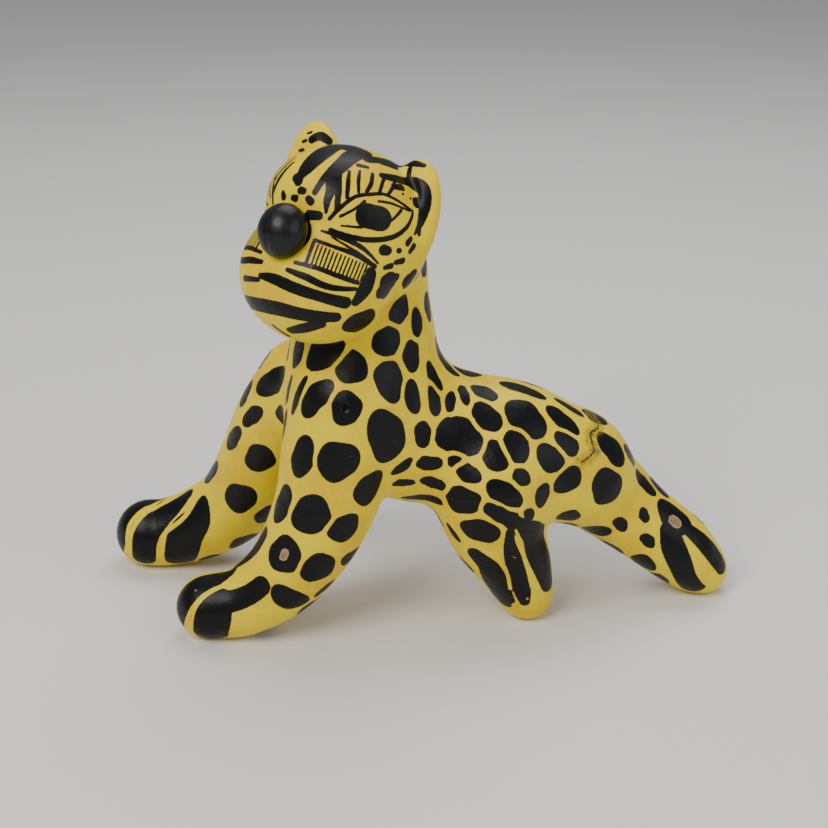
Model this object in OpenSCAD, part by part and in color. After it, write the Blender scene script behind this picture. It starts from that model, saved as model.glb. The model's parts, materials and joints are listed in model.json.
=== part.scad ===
// Standing spotted wild cat in the style of a carved and painted Mexican folk figure.
// The animal faces -X, its left side faces -Y and +Z is up. The origin is on the resting plane,
// at the middle of the figure's bounding box. All sizes are in millimetres.

/* [Trunk] */
// Overall thickness factor of the neck and torso
trunk_girth = 1; // [0.96:0.01:1.03]
// Radius of the neck where it meets the chest
neck_r = 22.6; // [21:0.1:24]

/* [Head] */
// Turn of the head towards the animal's left
head_yaw = 55; // [45:1:65]
// Upward tilt of the muzzle
head_pitch = 20; // [14:1:26]
// Sideways tilt of the head
head_roll = 4; // [0:1:8]
// Half width of the skull
skull_half_w = 25.5; // [24:0.1:27]
// Half width of the painted nose ball
nose_half_w = 6.8; // [5.5:0.1:7]

/* [Ears] */
// Half height of an ear
ear_half_h = 18; // [16:0.5:19]
// Depth of the hollow in the front of an ear
ear_dish = 3.4; // [2:0.1:4]

/* [Legs] */
// Overall thickness factor of the four legs
leg_girth = 1; // [0.97:0.01:1.03]

/* [Joinery] */
// Radius of the leg dowels
leg_dowel_r = 3; // [2.5:0.1:3.5]
// Radius of the neck dowel
neck_dowel_r = 5; // [4:0.1:6]
// Radius of the tail peg
tail_peg_r = 2.5; // [2:0.1:2.8]
// Thickness of the glue and sawdust paste in a joint
paste_t = 0.6; // [0.4:0.1:1]
// Glue gap around a dowel
glue_gap = 0.05; // [0.02:0.01:0.1]
// Running gap around the tail peg
tail_gap = 0.06; // [0.03:0.01:0.08]

/* [Hidden] */

// Paint and wood colours
yellow = [0.93, 0.80, 0.16];
black = [0.05, 0.07, 0.08];
wood = [0.80, 0.64, 0.42];
paste_tan = [0.62, 0.45, 0.25];
steel = [0.6, 0.6, 0.62];

// Shift that puts the middle of the bounding box on the origin
centring = [-0.9, 0.45, 0];

// Mesh fineness of the lofted limbs
ring_sides = 18;
steps_per_span = 3;
cap_rings = 3;
// Mesh fineness of the head, ears and nose
head_sides = 28;
head_rows = 14;
small_sides = 18;
small_rows = 9;
// A length longer than any part of the figure
far = 400;

// Spines: each entry is [x, y, z, radius], from the root to the free end
neck_path = [
    [-16.5, 0, 77, 24.8], [-15.7, 0, 92, neck_r], [-13.7, 0, 105, 18.6], [-11, 0.5, 117, 15]
];
torso_path = [
    [-13.4, 0, 67, 25], [2, 0, 61.5, 23.1], [16.5, 0, 58.7, 21.6], [31, 0, 56, 21.3],
    [44, 1, 50.5, 19.5], [53.5, 2, 46.5, 17]
];
front_left_path = [
    [-20, -14, 77, 17.9], [-24, -16, 61.5, 17.4], [-27, -18, 47, 16.3], [-33.5, -20, 32, 14.6],
    [-42.5, -21, 19.5, 12.8], [-54, -22, 11.7, 11.2], [-65.5, -22, 9.8, 10.6]
];
front_right_path = [
    [-35, 13, 72, 16.3], [-44, 17, 58, 15.6], [-51.5, 21, 41, 14.9], [-61, 25, 25, 13.8],
    [-73, 27, 16, 12.9], [-85.5, 28, 11.5, 11.9], [-92.7, 28, 11.1, 11.6]
];
hind_left_path = [
    [25, -8, 49, 21.1], [26.5, -9, 33, 16.1], [32, -10, 20.5, 12.4], [36, -10, 10.2, 9.5],
    [37, -10, 7.6, 8.4]
];
hind_right_path = [
    [51.5, 7, 47, 18.1], [61, 8, 38.3, 15.3], [75, 8, 26.2, 12.9], [87.5, 7, 16.8, 12.2],
    [94, 7, 10.9, 10.5], [97.5, 7, 8, 8.6]
];
tail_path = [
    [44, 21.5, 53, 4.5], [43.2, 26.5, 54, 4.6], [36, 29.5, 52.5, 4.4], [24, 29, 49.5, 4.3],
    [10, 29, 47.5, 4.1], [-3, 30, 49.5, 4], [-13, 32, 56, 4.2]
];

// Joint seats: a point on the seat's middle and the direction in which the outer piece leaves it
neck_seat = [-13, 0, 109.5];
neck_out = [-0.26, -0.05, 0.96];
front_left_seat = [-21, -13, 71];
front_left_out = [-0.1, -0.8, -0.6];
front_right_seat = [-36.4, 13.2, 67.7];
front_right_out = [-0.35, 0.65, -0.68];
hind_left_seat = [25.5, -9, 42];
hind_left_out = [0.1, -0.55, -0.83];
hind_right_seat = [56.5, 7.6, 42.5];
hind_right_out = [0.74, 0.08, -0.67];
tail_seat = [44, 21.5, 53];
tail_out = [0, 0.96, 0.28];

// How far each dowel reaches into the body and into the outer piece
dowel_in = 10;
dowel_out = 13;
neck_dowel_half = 15;
tail_peg_l = 8;
tail_bore_l = 8.4;
tail_spot_r = 6;

// Head in its own frame: muzzle along -X, animal's left along -Y
head_at = [-20, -7, 127.5];
skull_c = [0, 0, 1];
skull_s = [22, skull_half_w, 26];
muzzle_c = [-12, 0, -14];
muzzle_s = [19, 23, 19];
brow_c = [-10, 0, 8];
brow_s = [17, 20, 16];
// Exponent that blends the head's three swellings into one skin
blend_power = 8;
nose_at = [-31.7, 0, -2.3];
nose_s = [nose_half_w, nose_half_w, 7.4];
nose_seat_x = -29.5;
nose_peg_r = 1.5;
nose_peg_l = 10;
nose_peg_in = 7;

// Ears in the head's frame, given for the left side: the right one is drawn mirrored
ear_left_at = [3, -18.7, 8.8];
ear_left_lean = 0;
ear_right_at = [4, -21.5, 13.5];
ear_right_lean = 10;
ear_s = [5.5, 9, ear_half_h];
ear_dish_s = [5, 5.8, ear_half_h - 4.5];
ear_dish_shift = -(ear_s[0] + ear_dish_s[0] - ear_dish);
ear_seat = [5.5, -16.5, 13];
ear_out = [0, -0.97, 0.24];
ear_peg_r = 1.5;
ear_peg_in = 8;
ear_peg_l = 12;

// Shoulder nails: a flat head under the paint and a shank through the leg into the body
nail_shank_r = 0.9;
nail_head_r = 2;
nail_head_t = 0.8;
nail_l = 22;
nail_left_at = [-13.5, -29.7, 77.5];
nail_left_in = [0, 1, 0];
nail_right_at = [-28, 26.2, 68];
nail_right_in = [0, -1, 0];

function unit(v) = v / norm(v);
function place_of(p) = [p[0], p[1], p[2]];

// Catmull-Rom point number i of a spine, at parameter t from 0 to 1
function span_point(path, i, t) =
    let (
        n = len(path) - 1,
        a = path[max(i - 1, 0)], b = path[i], c = path[i + 1], d = path[min(i + 2, n)]
    )
    0.5 * (2 * b + (c - a) * t + (2 * a - 5 * b + 4 * c - d) * t * t
        + (3 * b - a - 3 * c + d) * t * t * t);

function fine_path(path) = [
    for (i = [0:len(path) - 2]) for (k = [0:steps_per_span - 1]) span_point(path, i, k / steps_per_span),
    path[len(path) - 1]
];

// Direction of travel at point i of a fine path
function heading(path, i) =
    unit(place_of(path[min(i + 1, len(path) - 1)]) - place_of(path[max(i - 1, 0)]));

// A fine path with its two ends closed by rounded caps of shrinking rings
function capped(path, girth) =
    let (
        n = len(path) - 1,
        first = path[0], last = path[n],
        t0 = heading(path, 0), t1 = heading(path, n),
        r0 = first[3] * girth, r1 = last[3] * girth
    )
    [
        for (k = [cap_rings:-1:1]) let (a = 90 * k / (cap_rings + 1))
            [place_of(first) - t0 * r0 * sin(a), t0, r0 * cos(a)],
        for (i = [0:n]) [place_of(path[i]), heading(path, i), path[i][3] * girth],
        for (k = [1:cap_rings]) let (a = 90 * k / (cap_rings + 1))
            [place_of(last) + t1 * r1 * sin(a), t1, r1 * cos(a)]
    ];

function ring_points(ring) =
    let (u = unit(cross([0, 1, 0], ring[1])), v = cross(ring[1], u))
    [for (k = [0:ring_sides - 1]) let (a = 360 * k / ring_sides)
        ring[0] + ring[2] * (cos(a) * u + sin(a) * v)];

// Triangles of a closed skin of stacked rings, with a pole point at each end
function skin_faces(sides, rings) =
    let (last = 1 + sides * rings)
    [
        for (k = [0:sides - 1]) [0, 1 + k, 1 + (k + 1) % sides],
        for (j = [0:rings - 2]) for (k = [0:sides - 1])
            [1 + j * sides + k, 1 + (j + 1) * sides + k, 1 + j * sides + (k + 1) % sides],
        for (j = [0:rings - 2]) for (k = [0:sides - 1])
            [1 + j * sides + (k + 1) % sides, 1 + (j + 1) * sides + k,
                1 + (j + 1) * sides + (k + 1) % sides],
        for (k = [0:sides - 1])
            [last, 1 + (rings - 1) * sides + (k + 1) % sides, 1 + (rings - 1) * sides + k]
    ];

// A round limb of varying thickness along a spine
module limb(path, girth) {
    fine = fine_path(path);
    n = len(fine) - 1;
    rings = capped(fine, girth);
    tip0 = place_of(fine[0]) - heading(fine, 0) * fine[0][3] * girth;
    tip1 = place_of(fine[n]) + heading(fine, n) * fine[n][3] * girth;
    polyhedron(
        points = concat([tip0], [for (ring = rings) for (p = ring_points(ring)) p], [tip1]),
        faces = skin_faces(ring_sides, len(rings)),
        convexity = 6
    );
}

// Distance from the origin to the skin of an ellipsoid that holds it, in direction d
function reach(d, centre, semi) =
    let (
        e = [for (i = [0:2]) d[i] / semi[i]],
        f = [for (i = [0:2]) centre[i] / semi[i]],
        a = e * e, b = e * f, c = f * f - 1
    )
    (b + sqrt(b * b - a * c)) / a;

function head_reach(d) = pow(
    pow(reach(d, skull_c, skull_s), blend_power)
        + pow(reach(d, muzzle_c, muzzle_s), blend_power)
        + pow(reach(d, brow_c, brow_s), blend_power),
    1 / blend_power
);

module head_skin() {
    function toward(row, k) =
        let (el = -90 + 180 * row / head_rows, az = 360 * k / head_sides)
        [cos(el) * cos(az), cos(el) * sin(az), sin(el)];
    polyhedron(
        points = concat(
            [[0, 0, -head_reach([0, 0, -1])]],
            [for (row = [1:head_rows - 1]) for (k = [0:head_sides - 1])
                let (d = toward(row, k)) d * head_reach(d)],
            [[0, 0, head_reach([0, 0, 1])]]
        ),
        faces = skin_faces(head_sides, head_rows - 1),
        convexity = 4
    );
}

module egg(semi) {
    polyhedron(
        points = concat(
            [[0, 0, -semi[2]]],
            [for (row = [1:small_rows - 1]) for (k = [0:small_sides - 1])
                let (el = -90 + 180 * row / small_rows, az = 360 * k / small_sides)
                [semi[0] * cos(el) * cos(az), semi[1] * cos(el) * sin(az), semi[2] * sin(el)]],
            [[0, 0, semi[2]]]
        ),
        faces = skin_faces(small_sides, small_rows - 1),
        convexity = 2
    );
}

// Places children so that their +Z points along dir from the point at
module toward(at, dir) {
    d = unit(dir);
    translate(at)
        rotate([0, acos(d[2]), atan2(d[1], d[0])])
            children();
}

// Everything on the outer side of a seat, beginning depth along its direction
module beyond(seat, out, depth = 0) {
    toward(seat, out)
        translate([-far / 2, -far / 2, depth])
            cube(far);
}

// A slab of paste in a seat
module slab(seat, out) {
    toward(seat, out)
        translate([-far / 2, -far / 2, 0])
            cube([far, far, paste_t]);
}

module rod(seat, out, r, inner, outer) {
    toward(seat, out)
        translate([0, 0, -inner])
            cylinder(h = inner + outer, r = r, $fn = 32);
}

module in_head() {
    translate(head_at)
        rotate([0, 0, head_yaw])
            rotate([0, head_pitch, 0])
                rotate([head_roll, 0, 0])
                    children();
}

module on_side(side) {
    if (side < 0) children();
    else mirror([0, 1, 0]) children();
}

module above_floor() {
    translate([-far / 2, -far / 2, 0]) cube(far);
}

module trunk() {
    limb(neck_path, trunk_girth);
    limb(torso_path, trunk_girth);
}

module leg_stock(path, seat, out, depth = 0) {
    intersection() {
        limb(path, leg_girth);
        beyond(seat, out, depth);
    }
}

// The root of a leg, which is carved with the body
module leg_stub(path, seat, out) {
    intersection() {
        limb(path, leg_girth);
        beyond(seat, -out);
    }
}

module ear_stock(side) {
    at = side < 0 ? ear_left_at : ear_right_at;
    lean = side < 0 ? ear_left_lean : ear_right_lean;
    on_side(side) intersection() {
        translate(at) rotate([lean, 0, 0]) difference() {
            egg(ear_s);
            translate([ear_dish_shift, 0, 1]) egg(ear_dish_s);
        }
        beyond(ear_seat, ear_out);
    }
}

module nose_stock() {
    intersection() {
        translate(nose_at) egg(nose_s);
        translate([nose_seat_x - far, -far / 2, -far / 2]) cube(far);
    }
}

module leg_bore(seat, out) {
    rod(seat, out, leg_dowel_r + glue_gap, dowel_in, dowel_out);
}

module neck_bore() {
    rod(neck_seat, neck_out, neck_dowel_r + glue_gap, neck_dowel_half, neck_dowel_half);
}

module nail(at, dir, clear = 0) {
    toward(at, dir) {
        cylinder(h = nail_head_t, r = nail_head_r + clear, $fn = 32);
        cylinder(h = nail_l, r = nail_shank_r + clear, $fn = 24);
    }
}

// A nail's hole, open to the outside above the nail's head
module nail_hole(at, dir) {
    nail(at, dir, glue_gap);
}

module body() {
    color(yellow) translate(centring) difference() {
        resize([0, 0, 0]) difference() {
            union() {
                difference() {
                    union() {
                        difference() {
                            trunk();
                            leg_stock(hind_right_path, hind_right_seat, hind_right_out);
                        }
                        leg_stub(hind_right_path, hind_right_seat, hind_right_out);
                    }
                    leg_stock(front_left_path, front_left_seat, front_left_out);
                    leg_stock(front_right_path, front_right_seat, front_right_out);
                    leg_stock(hind_left_path, hind_left_seat, hind_left_out);
                    beyond(neck_seat, neck_out);
                }
                leg_stub(front_left_path, front_left_seat, front_left_out);
                leg_stub(front_right_path, front_right_seat, front_right_out);
                leg_stub(hind_left_path, hind_left_seat, hind_left_out);
            }
            in_head() head_skin();
            leg_bore(front_left_seat, front_left_out);
            leg_bore(front_right_seat, front_right_out);
            leg_bore(hind_left_seat, hind_left_out);
            leg_bore(hind_right_seat, hind_right_out);
            neck_bore();
            nail_hole(nail_left_at, nail_left_in);
            nail_hole(nail_right_at, nail_right_in);
            rod(tail_seat, tail_out, tail_spot_r, 0, tail_spot_r);
        }
        rod(tail_seat, tail_out, tail_peg_r + tail_gap, tail_bore_l, 1);
    }
}

module head() {
    color(yellow) translate(centring)
        resize([0, 0, 0]) difference() {
            union() {
                in_head() head_skin();
                intersection() {
                    limb(neck_path, trunk_girth);
                    beyond(neck_seat, neck_out, paste_t);
                }
            }
            in_head() ear_stock(-1);
            in_head() ear_stock(1);
            in_head() nose_stock();
            neck_bore();
            in_head() on_side(-1) rod(ear_seat, ear_out, ear_peg_r + glue_gap, ear_peg_in, 1);
            in_head() on_side(1) rod(ear_seat, ear_out, ear_peg_r + glue_gap, ear_peg_in, 1);
            in_head() nose_rod(nose_peg_r + glue_gap);
        }
}

module nose_rod(r) {
    translate([nose_seat_x + nose_peg_in, 0, nose_at[2]])
        rotate([0, -90, 0])
            cylinder(h = nose_peg_l, r = r, $fn = 32);
}

module ear(side) {
    color(yellow) translate(centring) resize([0, 0, 0]) in_head() difference() {
        ear_stock(side);
        on_side(side) rod(ear_seat, ear_out, ear_peg_r + glue_gap, 1, ear_peg_l - ear_peg_in);
    }
}

module ear_left() { ear(-1); }

module ear_right() { ear(1); }

module ear_peg(side) {
    color(wood) translate(centring) in_head() on_side(side)
        rod(ear_seat, ear_out, ear_peg_r, ear_peg_in, ear_peg_l - ear_peg_in);
}

module ear_peg_left() { ear_peg(-1); }

module ear_peg_right() { ear_peg(1); }

module nose() {
    color(black) translate(centring) resize([0, 0, 0]) in_head() difference() {
        nose_stock();
        nose_rod(nose_peg_r + glue_gap);
    }
}

module nose_peg() {
    color(wood) translate(centring) in_head() nose_rod(nose_peg_r);
}

module leg(path, seat, out) {
    color(yellow) translate(centring) resize([0, 0, 0]) difference() {
        intersection() {
            leg_stock(path, seat, out, paste_t);
            above_floor();
        }
        leg_bore(seat, out);
        nail_hole(nail_left_at, nail_left_in);
        nail_hole(nail_right_at, nail_right_in);
    }
}

module leg_front_left() { leg(front_left_path, front_left_seat, front_left_out); }

module leg_front_right() { leg(front_right_path, front_right_seat, front_right_out); }

module leg_hind_left() { leg(hind_left_path, hind_left_seat, hind_left_out); }

module leg_hind_right() { leg(hind_right_path, hind_right_seat, hind_right_out); }

module tail() {
    color(yellow) translate(centring) {
        resize([0, 0, 0]) intersection() {
            limb(tail_path, 1);
            beyond(tail_seat, tail_out, 0.1);
        }
        rod(tail_seat, tail_out, tail_peg_r, tail_peg_l, 2);
    }
}

module dowel(seat, out) {
    color(wood) translate(centring) rod(seat, out, leg_dowel_r, dowel_in, dowel_out);
}

module dowel_front_left() { dowel(front_left_seat, front_left_out); }

module dowel_front_right() { dowel(front_right_seat, front_right_out); }

module dowel_hind_left() { dowel(hind_left_seat, hind_left_out); }

module dowel_hind_right() { dowel(hind_right_seat, hind_right_out); }

module neck_dowel() {
    color(wood) translate(centring)
        rod(neck_seat, neck_out, neck_dowel_r, neck_dowel_half, neck_dowel_half);
}

module shoulder_nails() {
    color(steel) translate(centring) {
        nail(nail_left_at, nail_left_in);
        nail(nail_right_at, nail_right_in);
    }
}

module paste(path, seat, out) {
    color(paste_tan) translate(centring) resize([0, 0, 0]) difference() {
        intersection() {
            limb(path, leg_girth);
            slab(seat, out);
        }
        leg_bore(seat, out);
        nail_hole(nail_left_at, nail_left_in);
        nail_hole(nail_right_at, nail_right_in);
    }
}

module paste_neck() {
    color(paste_tan) translate(centring) resize([0, 0, 0]) difference() {
        intersection() {
            limb(neck_path, trunk_girth);
            slab(neck_seat, neck_out);
        }
        in_head() head_skin();
        neck_bore();
    }
}

module paste_front_left() { paste(front_left_path, front_left_seat, front_left_out); }

module paste_front_right() { paste(front_right_path, front_right_seat, front_right_out); }

module paste_hind_left() { paste(hind_left_path, hind_left_seat, hind_left_out); }

module paste_hind_right() { paste(hind_right_path, hind_right_seat, hind_right_out); }

body();
head();
ear_left();
ear_right();
nose();
leg_front_left();
leg_front_right();
leg_hind_left();
leg_hind_right();
tail();
neck_dowel();
dowel_front_left();
dowel_front_right();
dowel_hind_left();
dowel_hind_right();
ear_peg_left();
ear_peg_right();
nose_peg();
shoulder_nails();
paste_neck();
paste_front_left();
paste_front_right();
paste_hind_left();
paste_hind_right();
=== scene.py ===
import json
import math
import bpy
import numpy as np
import openvdb
from mathutils import Vector, Matrix

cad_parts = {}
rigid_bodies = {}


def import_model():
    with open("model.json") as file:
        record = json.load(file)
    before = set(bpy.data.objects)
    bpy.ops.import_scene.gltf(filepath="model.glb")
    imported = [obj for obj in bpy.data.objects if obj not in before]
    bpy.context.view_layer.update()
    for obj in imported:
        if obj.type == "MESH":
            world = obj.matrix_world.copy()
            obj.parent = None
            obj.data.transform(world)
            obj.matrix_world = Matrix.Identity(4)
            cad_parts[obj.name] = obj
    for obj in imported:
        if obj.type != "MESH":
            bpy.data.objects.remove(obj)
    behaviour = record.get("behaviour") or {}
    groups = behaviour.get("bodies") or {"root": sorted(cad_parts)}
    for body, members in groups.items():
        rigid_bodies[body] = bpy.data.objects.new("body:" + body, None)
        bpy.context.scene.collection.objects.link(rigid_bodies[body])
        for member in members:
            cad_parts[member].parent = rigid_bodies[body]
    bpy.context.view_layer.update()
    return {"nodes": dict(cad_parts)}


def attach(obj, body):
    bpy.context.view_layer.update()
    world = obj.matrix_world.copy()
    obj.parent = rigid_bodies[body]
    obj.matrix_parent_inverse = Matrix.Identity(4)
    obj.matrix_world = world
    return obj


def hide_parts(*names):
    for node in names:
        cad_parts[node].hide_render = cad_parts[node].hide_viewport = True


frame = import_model()

# The animal faces -X and its left side faces -Y. Sizes are worked out in millimetres and built in metres.
mm = 0.001
figure = {
    "shift": (-0.9, 0.45, 0.0),   # puts the middle of the figure on the origin
    "neckBlend": 9.0,             # width of the hollow where neck and back flow together
    "legBlend": 5.0,              # the same at the roots of the legs
    "headBlend": 2.2,             # and under the jaw
    "earBlend": 2.5,
    "soleRound": 0.8,
    "skinPitch": 0.55,            # spacing of the points on the body and legs
    "headPitch": 0.38,            # and on the head, whose lines are finer
    "spanSteps": 9,               # samples between two points of a spine
    "headMargin": 0.4,            # how far the head's cutter stands off the head's own skin
    "limbMargin": 2.5,            # how far a leg's cutter stands off its skin
    "pasteThickness": 0.6,
}


# Camera, floor and light
photoView = {
    "target": (-0.0009, 0.0004, 0.0672),
    "elevation": 22.0,
    "distance": 0.480,
    "lens": 65.2,
}


def makeCamera(view):
    lift = math.radians(view["elevation"])
    back = Vector((0.0, -math.cos(lift), math.sin(lift)))
    data = bpy.data.cameras.new("camera")
    data.lens = view["lens"]
    data.sensor_width = 36.0
    data.clip_start = 0.01
    camera = bpy.data.objects.new("camera", data)
    camera.location = Vector(view["target"]) + back * view["distance"]
    camera.rotation_euler = (-back).to_track_quat("-Z", "Y").to_euler()
    bpy.context.scene.collection.objects.link(camera)
    bpy.context.scene.camera = camera


studio = {
    "floorHalf": 3.0,
    "floorColour": (0.80, 0.79, 0.77, 1.0),
    "world": (0.86, 0.88, 0.92, 1.0),
    "worldStrength": 0.34,
    # name, place, size, watts, colour
    "lamps": [
        ("key", (-0.55, -0.70, 0.95), 0.70, 10.5, (1.0, 0.97, 0.92)),
        ("fill", (0.80, -0.55, 0.50), 0.90, 3.2, (0.93, 0.96, 1.0)),
        ("top", (0.10, 0.35, 1.00), 0.80, 5.0, (1.0, 1.0, 1.0)),
    ],
}


def makeStudio(settings):
    half = settings["floorHalf"]
    mesh = bpy.data.meshes.new("floor")
    corners = [(-half, -half, 0), (half, -half, 0), (half, half, 0), (-half, half, 0)]
    mesh.from_pydata(corners, [], [(0, 1, 2, 3)])
    floor = bpy.data.objects.new("floor", mesh)
    bpy.context.scene.collection.objects.link(floor)
    material = bpy.data.materials.new("floorPaper")
    material.use_nodes = True
    shader = material.node_tree.nodes["Principled BSDF"]
    shader.inputs["Base Color"].default_value = settings["floorColour"]
    shader.inputs["Roughness"].default_value = 0.85
    mesh.materials.append(material)
    floor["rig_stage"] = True
    for name, place, size, watts, colour in settings["lamps"]:
        lamp = bpy.data.lights.new(name, "AREA")
        lamp.shape = "DISK"
        lamp.size = size
        lamp.energy = watts
        lamp.color = colour
        holder = bpy.data.objects.new(name, lamp)
        holder.location = place
        aim = Vector((0.0, 0.0, 0.07)) - Vector(place)
        holder.rotation_euler = aim.to_track_quat("-Z", "Y").to_euler()
        bpy.context.scene.collection.objects.link(holder)
    world = bpy.data.worlds.new("studio")
    world.use_nodes = True
    sky = world.node_tree.nodes["Background"]
    sky.inputs["Color"].default_value = settings["world"]
    sky.inputs["Strength"].default_value = settings["worldStrength"]
    bpy.context.scene.world = world


makeCamera(photoView)
makeStudio(studio)
print("camera and studio ready")


# The carved shape as a distance field
# Spines: x, y, z and radius from the root to the free end. A scratch script worked these figures out
# from places and widths read off by eye, and they were then rounded; the tail's were chosen by hand.
spines = {
    "neck": [(-16.5, 0, 77, 24.8), (-15.7, 0, 92, 22.6), (-13.7, 0, 105, 18.6), (-11, 0.5, 117, 15)],
    "torso": [(-13.4, 0, 67, 25), (2, 0, 61.5, 23.1), (16.5, 0, 58.7, 21.6), (31, 0, 56, 21.3),
              (44, 1, 50.5, 19.5), (53.5, 2, 46.5, 17)],
    "frontLeft": [(-20, -14, 77, 17.9), (-24, -16, 61.5, 17.4), (-27, -18, 47, 16.3), (-33.5, -20, 32, 14.6),
                  (-42.5, -21, 19.5, 12.8), (-54, -22, 11.7, 11.2), (-65.5, -22, 9.8, 10.6)],
    "frontRight": [(-35, 13, 72, 16.3), (-44, 17, 58, 15.6), (-51.5, 21, 41, 14.9), (-61, 25, 25, 13.8),
                   (-73, 27, 16, 12.9), (-85.5, 28, 11.5, 11.9), (-92.7, 28, 11.1, 11.6)],
    "hindLeft": [(25, -8, 49, 21.1), (26.5, -9, 33, 16.1), (32, -10, 20.5, 12.4), (36, -10, 10.2, 9.5),
                 (37, -10, 7.6, 8.4)],
    "hindRight": [(51.5, 7, 47, 18.1), (61, 8, 38.3, 15.3), (75, 8, 26.2, 12.9), (87.5, 7, 16.8, 12.2),
                  (94, 7, 10.9, 10.5), (97.5, 7, 8, 8.6)],
    "tail": [(44, 21.5, 53, 4.5), (43.2, 26.5, 54, 4.6), (36, 29.5, 52.5, 4.4), (24, 29, 49.5, 4.3),
             (10, 29, 47.5, 4.1), (-3, 30, 49.5, 4), (-13, 32, 56, 4.2)],
}
# Seats of the joints: a point and the direction in which the outer piece leaves
seats = {
    "neck": ((-13, 0, 109.5), (-0.26, -0.05, 0.96)),
    "frontLeft": ((-21, -13, 71), (-0.1, -0.8, -0.6)),
    "frontRight": ((-36.4, 13.2, 67.7), (-0.35, 0.65, -0.68)),
    "hindLeft": ((25.5, -9, 42), (0.1, -0.55, -0.83)),
    "hindRight": ((56.5, 7.6, 42.5), (0.74, 0.08, -0.67)),
    "tail": ((44, 21.5, 53), (0, 0.96, 0.28)),
}
headShape = {
    "at": (-20, -7, 127.5),
    "yaw": 55.0,
    "pitch": 20.0,
    "roll": 4.0,
    # middle and half sizes of the swellings that one skin covers
    "swellings": [((0, 0, 1), (22, 25.5, 25)), ((-12, 0, -14), (19, 23, 19)), ((-10, 0, 8), (17, 20, 16))],
    "power": 8.0,
}
earShape = {
    "half": (5.5, 10.2, 18.4),
    "dishHalf": (5.0, 7.0, 13.9),
    "dishShift": (-7.1, 0.0, 1.0),
    "rimRound": 1.4,
    # side, middle and lean: the right ear is the mirror image of its figures
    "sides": {"left": (1, (3, -17.6, 9.2), 0.0), "right": (-1, (4, -21.5, 13.5), 10.0)},
}
noseShape = {"at": (-31.5, -0.6, -2.3), "half": (7.0, 7.3, 8.0)}
shift = np.array(figure["shift"], np.float32)


# A smooth curve through rows of figures
def smoothCurve(points, steps):
    points = np.array(points, float)
    samples = []
    last = len(points) - 1
    for i in range(last):
        a, b, c, d = points[max(i - 1, 0)], points[i], points[i + 1], points[min(i + 2, last)]
        for step in range(steps):
            t = step / steps
            samples.append(0.5 * (2 * b + (c - a) * t + (2 * a - 5 * b + 4 * c - d) * t ** 2
                                  + (3 * b - a - 3 * c + d) * t ** 3))
    samples.append(points[last])
    return np.array(samples)


def sampleSpine(points):
    samples = smoothCurve(points, figure["spanSteps"])
    samples[:, :3] += shift
    return samples.astype(np.float32)


tubes = {name: sampleSpine(points) for name, points in spines.items()}


def unit(v):
    v = np.array(v, float)
    return v / np.linalg.norm(v)


def turn(axis, degrees):
    return np.array(Matrix.Rotation(math.radians(degrees), 3, axis))


headTurn = turn("Z", headShape["yaw"]) @ turn("Y", headShape["pitch"]) @ turn("X", headShape["roll"])
headCentre = np.array(headShape["at"]) + shift


def toHead(p):
    return (p - headCentre) @ headTurn


def fromHead(q):
    return np.array(q, float) @ headTurn.T + headCentre


farAway = 30.0   # reading of a limb's distance field where that limb plays no part
chunkSize = 120000


def tubeDistance(p, tube):
    out = np.full(len(p), farAway, np.float32)
    low = (tube[:, :3] - tube[:, 3:]).min(0) - 10
    high = (tube[:, :3] + tube[:, 3:]).max(0) + 10
    near = np.flatnonzero(((p > low) & (p < high)).all(1))
    middle, radius = tube[:, :3], tube[:, 3]
    for start in range(0, len(near), chunkSize):
        part = near[start:start + chunkSize]
        q = p[part]
        square = (q * q).sum(1)[:, None] - 2 * q @ middle.T + (middle * middle).sum(1)
        nearest = np.argmin(np.sqrt(np.maximum(square, 0)) - radius, axis=1)
        best = np.full(len(q), farAway, np.float32)
        for step in (-1, 0):
            i = np.clip(nearest + step, 0, len(tube) - 2)
            a, b = tube[i], tube[i + 1]
            span = b[:, :3] - a[:, :3]
            t = np.clip(((q - a[:, :3]) * span).sum(1) / (span * span).sum(1), 0, 1)
            off = q - a[:, :3] - span * t[:, None]
            d = np.sqrt((off * off).sum(1)) - (a[:, 3] + (b[:, 3] - a[:, 3]) * t)
            best = np.minimum(best, d)
        out[part] = best
    return out


def smoothMin(a, b, width):
    h = np.maximum(width - np.abs(a - b), 0) / width
    return np.minimum(a, b) - h * h * width / 4


def smoothMax(a, b, width):
    return -smoothMin(-a, -b, width)


def headReach(d):
    total = 0
    for centre, half in headShape["swellings"]:
        e, f = d / np.array(half), np.array(centre) / np.array(half)
        a, b, c = (e * e).sum(1), e @ f, f @ f - 1
        total = total + ((b + np.sqrt(b * b - a * c)) / a) ** headShape["power"]
    return total ** (1 / headShape["power"])


def eggDistance(q, half):
    half = np.array(half)
    k0 = np.sqrt(((q / half) ** 2).sum(1))
    k1 = np.sqrt(((q / half ** 2) ** 2).sum(1)) + 1e-6
    return k0 * (k0 - 1) / k1


def toEar(q, side):
    mirror, middle, lean = earShape["sides"][side]
    q = q * np.array([1, mirror, 1]) - np.array(middle)
    return q @ turn("X", lean)


def earDistance(q, side):
    local = toEar(q, side)
    outside = eggDistance(local, earShape["half"])
    dish = eggDistance(local - np.array(earShape["dishShift"]), earShape["dishHalf"])
    return smoothMax(outside, -dish, earShape["rimRound"])


def headDistance(p):
    out = np.full(len(p), farAway, np.float32)
    near = np.flatnonzero(((p - headCentre) ** 2).sum(1) < 55 ** 2)
    q = toHead(p[near])
    size = np.sqrt((q * q).sum(1)) + 1e-6
    skull = size - headReach(q / size[:, None])
    for side in ("left", "right"):
        skull = smoothMin(skull, earDistance(q, side), figure["earBlend"])
    out[near] = skull
    return out


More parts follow.
